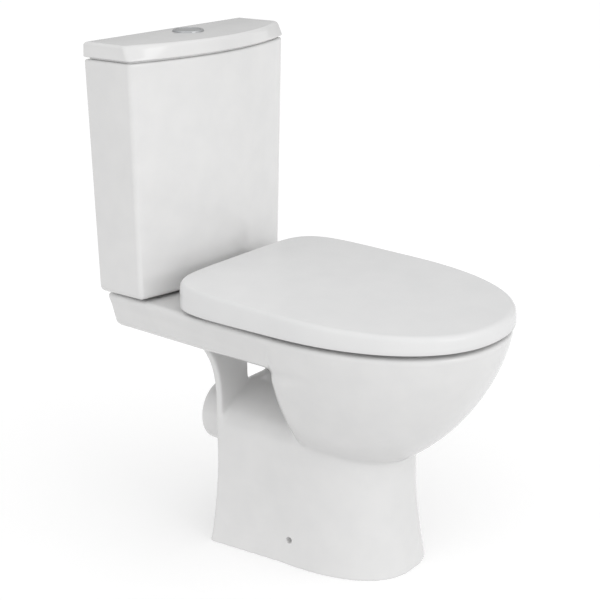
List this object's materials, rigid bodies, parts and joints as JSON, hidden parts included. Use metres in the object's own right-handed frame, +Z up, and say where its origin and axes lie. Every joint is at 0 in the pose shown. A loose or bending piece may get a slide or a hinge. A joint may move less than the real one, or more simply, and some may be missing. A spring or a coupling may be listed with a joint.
{
  "type": "close coupled toilet",
  "caption": "Close coupled toilet: china pan with a horizontal outlet, cistern with a dual flush valve and a fill valve, lift-off lid, hinged seat ring and cover.",
  "frame": {"origin": "on the floor under the middle of the whole toilet's box, with the wall plane behind it at +Y", "axes": "+Z up; -Y out of the front of the bowl; +Y towards the wall; +X to the right of someone facing the wall"},
  "size_m": [0.3618, 0.6111, 0.7896],
  "materials": {
    "china": "white vitreous china, high gloss glaze",
    "seat_plastic": "white thermoset plastic, polished",
    "valve_plastic": "off-white moulded plastic",
    "rubber": "black rubber",
    "buffer": "pale grey soft rubber",
    "chrome": "polished chrome plate",
    "steel": "plain stainless steel",
    "brass": "plain brass"
  },
  "bodies": {
    "china_and_fittings": {"pan": "china", "cistern_tank": "china", "close_coupling_gasket": "rubber", "flush_valve_base": "valve_plastic", "flush_valve_backnut": "valve_plastic", "flush_valve_tower": "valve_plastic", "fill_valve_body": "valve_plastic", "fill_valve_washer": "rubber", "fill_valve_backnut": "valve_plastic", "fill_valve_cap": "valve_plastic", "arm_pivot_pin": "steel", "tank_bolt_left": "steel", "tank_bolt_right": "steel", "tank_bolt_rubber_left": "rubber", "tank_bolt_rubber_right": "rubber", "tank_bolt_washer_left": "steel", "tank_bolt_washer_right": "steel", "tank_bolt_wing_nut_left": "steel", "tank_bolt_wing_nut_right": "steel", "hinge_pad_left": "seat_plastic", "hinge_pad_right": "seat_plastic", "hinge_post_left": "chrome", "hinge_post_right": "chrome", "hinge_pin_left": "steel", "hinge_pin_right": "steel", "hinge_washer_left": "rubber", "hinge_washer_right": "rubber", "hinge_wing_nut_left": "valve_plastic", "hinge_wing_nut_right": "valve_plastic"},
    "ring": {"seat_ring": "seat_plastic", "ring_buffer_front_left": "buffer", "ring_buffer_front_right": "buffer", "ring_buffer_rear_left": "buffer", "ring_buffer_rear_right": "buffer"},
    "cover": {"seat_cover": "seat_plastic", "cover_buffer_left": "buffer", "cover_buffer_right": "buffer"},
    "lid": {"cistern_lid": "china", "button_collar": "chrome", "button_nut": "valve_plastic", "full_flush_spring": "steel", "half_flush_spring": "steel"},
    "full_flush": {"full_flush_button": "chrome", "full_flush_push_rod": "valve_plastic"},
    "half_flush": {"half_flush_button": "chrome", "half_flush_push_rod": "valve_plastic"},
    "valve_stem": {"overflow_stem": "valve_plastic", "flush_valve_seal": "rubber"},
    "float_lever": {"float_arm": "valve_plastic", "float_adjusting_screw": "brass", "float_cup": "valve_plastic"},
    "inlet_pin": {"diaphragm_pin": "brass"}
  },
  "joints": [
    {"name": "ring_hinge", "type": "hinge", "parent": "china_and_fittings", "child": "ring", "pos_m": [0, 0.1497, 0.431], "axis": [-1, 0, 0], "range_deg": [0, 92.5]},
    {"name": "cover_hinge", "type": "hinge", "parent": "ring", "child": "cover", "pos_m": [0, 0.1497, 0.431], "axis": [1, 0, 0], "range_deg": [-92.5, 0]},
    {"name": "lid_lift", "type": "slide", "parent": "china_and_fittings", "child": "lid", "axis": [0, 0, 1], "range_m": [0, 0.13]},
    {"name": "full_flush_press", "type": "slide", "parent": "lid", "child": "full_flush", "axis": [0, 0, -1], "range_m": [0, 0.006], "stiffness_N_per_m": 300, "springref_m": -0.004, "deforming": ["full_flush_spring"]},
    {"name": "half_flush_press", "type": "slide", "parent": "lid", "child": "half_flush", "axis": [0, 0, -1], "range_m": [0, 0.006], "stiffness_N_per_m": 300, "springref_m": -0.004, "deforming": ["half_flush_spring"]},
    {"name": "valve_lift", "type": "slide", "parent": "china_and_fittings", "child": "valve_stem", "axis": [0, 0, 1], "range_m": [0, 0.015]},
    {"name": "float_swing", "type": "hinge", "parent": "china_and_fittings", "child": "float_lever", "pos_m": [0.12, 0.259, 0.702], "axis": [0, 1, 0], "range_deg": [0, 16]},
    {"name": "inlet_pin_slide", "type": "slide", "parent": "china_and_fittings", "child": "inlet_pin", "axis": [0, 0, -1], "range_m": [0, 0.0012]}
  ],
  "couplings": [
    {"joint": "valve_lift", "follows": "full_flush_press", "ratio": 2.5},
    {"joint": "inlet_pin_slide", "follows": "float_swing", "m_per_rad": 0.004}
  ]
}
